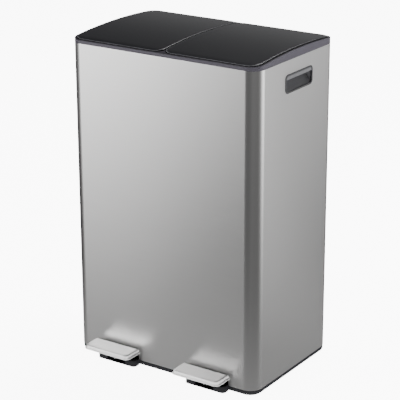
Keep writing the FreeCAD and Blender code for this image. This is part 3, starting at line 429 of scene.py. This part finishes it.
HAND_HALF_Y, HAND_HALF_Z, HAND_WALL = 48.0, 16.5, 1.8
BEZEL_OUT, BEZEL_CORNER, BEZEL_INNER_X, BEZEL_OUTER_X = 2.2, 9.2, 212.5, 215.9
handle_grey = speckled("handle plastic", (0.040, 0.040, 0.043), 0.42)
bezel_black = speckled("bezel plastic", (0.012, 0.012, 0.013), 0.48, specular=0.3)
for side, word in ((-1, "left"), (1, "right")):
    half_y, half_z = HAND_HALF_Y + BEZEL_OUT, HAND_HALF_Z + BEZEL_OUT
    ring, ring_normals = rounded_outline(HOLE_Y - half_y, HOLE_Y + half_y, HOLE_Z - half_z, HOLE_Z + half_z,
                                         BEZEL_CORNER, per_corner=14, per_side=4)
    section = softened([(4.0, BEZEL_INNER_X, 0), (4.0, BEZEL_OUTER_X, 0.7), (0.0, BEZEL_OUTER_X, 0.8),
                        (0.0, BEZEL_OUTER_X - 1.0, 0)])
    bezel = np.array([np.column_stack([np.full(len(ring), x), ring - t * ring_normals])
                      for t, x in section])
    cup_rows = softened([(215.3, 589.8, 0), (213.0, 589.8, 1.2), (194.8, 613.2, 3.0), (194.8, 621.0, 2.5),
                         (210.2, 621.0, 1.5), (210.2, 612.2, 1.4), (215.2, 612.2, 1.4),
                         (215.2, 619.6, 0)])
    cup_half = HAND_HALF_Y - HAND_WALL
    cup = np.array([[(x, y, z) for y in np.linspace(HOLE_Y - cup_half, HOLE_Y + cup_half, 12)]
                    for x, z in cup_rows])
    if side < 0:
        bezel = bezel * np.array([-1, 1, 1])
        cup = cup * np.array([-1, 1, 1])
    bezel_piece = piece(word + "_hand_bezel", bezel, "bin", "handle_insert_" + word, flip=side < 0)
    columns = cup.shape[1]
    strip = ring_faces(len(cup_rows), columns, closed=False).tolist()
    ends = [[r * columns for r in range(len(cup_rows))],
            [r * columns + columns - 1 for r in range(len(cup_rows))][::-1]]
    mesh = bpy.data.meshes.new(word + "_hand_cup")
    turn = 1 if side > 0 else -1
    mesh.from_pydata((cup.reshape(-1, 3) * 0.001).tolist(), [], [f[::turn] for f in strip + ends])
    mesh.shade_smooth()
    mesh.set_sharp_from_angle(angle=math.radians(35))
    cup_piece = bpy.data.objects.new(word + "_hand_cup", mesh)
    bpy.context.scene.collection.objects.link(cup_piece)
    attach(cup_piece, "bin")
    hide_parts("handle_insert_" + word)
    for moulding, plastic in ((bezel_piece, bezel_black), (cup_piece, handle_grey)):
        dress(moulding, plastic)

# ---------------------------------------------------------------- inner parts
# Buckets, liners, levers, rods, dampers and their fixings keep the shapes that they were built
# with. Each gets the finish of what it is made of.

liner_black = speckled("liner plastic", (0.022, 0.022, 0.024), 0.5)
bucket_black = speckled("bucket plastic", (0.030, 0.031, 0.033), 0.48)
natural = speckled("natural plastic", (0.62, 0.60, 0.55), 0.42)
damper_grey = speckled("damper plastic", (0.20, 0.20, 0.21), 0.40)
rubber = speckled("rubber", (0.018, 0.018, 0.018), 0.72)
zinc = brushed("zinc plated steel", (0.66, 0.68, 0.70), roughness=0.34, anisotropic=0.0, along=60.0,
               across=160.0, depth=0.06)
galvanised = brushed("galvanised sheet", (0.56, 0.575, 0.58), roughness=0.42, anisotropic=0.0, along=45.0,
                     across=70.0, depth=0.08)
finishes = {"black_plastic": base_black, "liner_plastic": liner_black, "bucket_plastic": bucket_black,
            "natural_plastic": natural, "damper_plastic": damper_grey, "rubber": rubber,
            "zinc_steel": zinc, "galvanised_sheet": galvanised, "brushed_steel": body_steel,
            "pedal_steel": pedal_steel, "lid_plastic": lid_charcoal, "rim_plastic": rim_grey,
            "handle_plastic": handle_grey}

for name, part in nodes.items():
    slot_name = part.data.materials[0].name.split(".")[0]
    if slot_name in finishes:
        dress(part, finishes[slot_name])

# ---------------------------------------------------------------- studio
# A pale glowing floor, two soft lamps, and a card just under the floor that shows only in
# reflections. The card and the sky share one set of tones by compass bearing: bright to the left
# front and to the right rear, dark from the front to the right.

CAMERA_AT, LOOK_AT, ROLL, LENS = (1.6633, -2.4793, 1.3778), (-0.0066, 0.0, 0.323), -0.22, 141.9
FLOOR_HALF, CARD_HALF, CARD_DEPTH = 12.0, 9.0, 0.002
FLOOR_GLOW, NEAR_TONE, WALL_GLOW, SKY_GAIN, SKY_LEAST = 9.0, 0.33, 2.9, 2.0, 0.02


def flat_card(name, half, z):
    """One level square in metres about the bin, facing up."""
    mesh = bpy.data.meshes.new(name)
    mesh.from_pydata([(-half, -half, z), (half, -half, z), (half, half, z), (-half, half, z)], [],
                     [(0, 1, 2, 3)])
    card = bpy.data.objects.new(name, mesh)
    bpy.context.scene.collection.objects.link(card)
    return card


floor = flat_card("floor", FLOOR_HALF, 0.0)
floor_paint, floor_shader, _ = finish("floor paint", (0.92, 0.92, 0.92), 0.9, specular=0.1)
floor_shader.inputs["Emission Color"].default_value = (1, 1, 1, 1)
floor_shader.inputs["Emission Strength"].default_value = FLOOR_GLOW
dress(floor, floor_paint)
floor.visible_glossy = False

mirror_card = flat_card("mirror_card", CARD_HALF, -CARD_DEPTH)
mirror_card.visible_camera = False
mirror_card.visible_diffuse = False
mirror_card.visible_shadow = False


def bearing_tones(place):
    """Two brightnesses by compass bearing, from straight behind through the left, the front
    (0.5) and the right: the room's general tone, and the glow of its two bright walls."""
    split = place.node("ShaderNodeSeparateXYZ", inputs={"Vector": place})
    north = Value(place.tree, split.socket.node.outputs["Y"])
    bearing = place.maths("ARCTAN2", split, north * -1.0) * (0.5 / math.pi) + 0.5
    general = place.node("ShaderNodeValToRGB", {"stops": (
        (0.0, 0.20), (0.20, 0.06), (0.30, 0.06), (0.37, 0.17), (0.395, 0.24), (0.41, 0.25),
        (0.445, 0.11), (0.465, 0.09), (0.55, 0.10), (0.60, 0.13), (0.76, 0.12), (0.84, 0.24),
        (0.90, 0.16), (1.0, 0.20))}, {"Fac": bearing})
    glow = place.node("ShaderNodeValToRGB", {"stops": (
        (0.0, 0.08), (0.20, 0.02), (0.31, 0.03), (0.345, 0.25), (0.375, 1.0), (0.39, 0.98),
        (0.42, 0.19), (0.44, 0.02), (0.46, 0.0), (0.72, 0.0), (0.775, 0.10), (0.80, 0.50),
        (0.835, 1.0), (0.87, 0.95), (0.897, 0.18), (0.93, 0.08), (1.0, 0.08))}, {"Fac": bearing})
    return general, glow


card_paint = bpy.data.materials.new("card light")
card_paint.use_nodes = True
tree = card_paint.node_tree
tree.nodes.clear()
place = Value(tree, tree.nodes.new("ShaderNodeTexCoord").outputs["Object"])
reach = place.node("ShaderNodeVectorMath", {"operation": "LENGTH"}, {0: place}, output=1)
general, glow = bearing_tones(place)
outside = place.node("ShaderNodeMath", {"operation": "SUBTRACT", "use_clamp": True},
                     {0: reach * 2.0, 1: 0.5})
far = place.maths("MINIMUM", reach * reach * 0.11, 1.6)
tone = general * outside + (1.0 - outside) * NEAR_TONE
brightness = tone * (reach * 0.25 + 0.9) + glow * far * WALL_GLOW
light = place.node("ShaderNodeEmission", inputs={"Color": (1, 1, 1, 1), "Strength": brightness})
output = tree.nodes.new("ShaderNodeOutputMaterial")
light.to(output, "Surface")
dress(mirror_card, card_paint)

world = bpy.data.worlds.new("studio")
bpy.context.scene.world = world
world.use_nodes = True
sky = world.node_tree
sky_place = Value(sky, sky.nodes.new("ShaderNodeTexCoord").outputs["Generated"])
sky_split = sky_place.node("ShaderNodeSeparateXYZ", inputs={"Vector": sky_place})
sky_up = Value(sky, sky_split.socket.node.outputs["Z"])
rise = sky_place.node("ShaderNodeValToRGB", {"stops": (
    (0.0, 1.0), (0.20, 0.62), (0.34, 0.25), (0.50, 0.06), (0.64, 0.01), (0.84, 0.01),
    (0.95, 0.30), (1.0, 0.30))}, {"Fac": sky_up})
general, glow = bearing_tones(sky_place)
((general + glow) * rise * SKY_GAIN + SKY_LEAST).to(sky.nodes["Background"], "Strength")
sky.nodes["Background"].inputs["Color"].default_value = (1, 1, 1, 1)


def soft_light(name, at, toward, width, power):
    """A square area light at one point, turned to face another."""
    lamp = bpy.data.lights.new(name, "AREA")
    lamp.shape = "SQUARE"
    lamp.size = width
    lamp.energy = power
    obj = bpy.data.objects.new(name, lamp)
    obj.location = at
    obj.rotation_euler = (Vector(toward) - Vector(at)).to_track_quat("-Z", "Y").to_euler()
    bpy.context.scene.collection.objects.link(obj)
    return obj


soft_light("overhead", (0.3, 1.2, 2.9), (0, 0, 0.4), 1.4, 110)
soft_light("front_left", (-2.0, -2.3, 1.7), (0, -0.1, 0.2), 0.9, 36)

view = bpy.data.cameras.new("camera")
view.lens = LENS
view.sensor_width = 36.0
camera = bpy.data.objects.new("camera", view)
camera.location = CAMERA_AT
aim = (Vector(LOOK_AT) - Vector(CAMERA_AT)).to_track_quat("-Z", "Y")
camera.rotation_euler = (aim @ Quaternion((0, 0, 1), math.radians(ROLL))).to_euler()
bpy.context.scene.collection.objects.link(camera)
bpy.context.scene.camera = camera
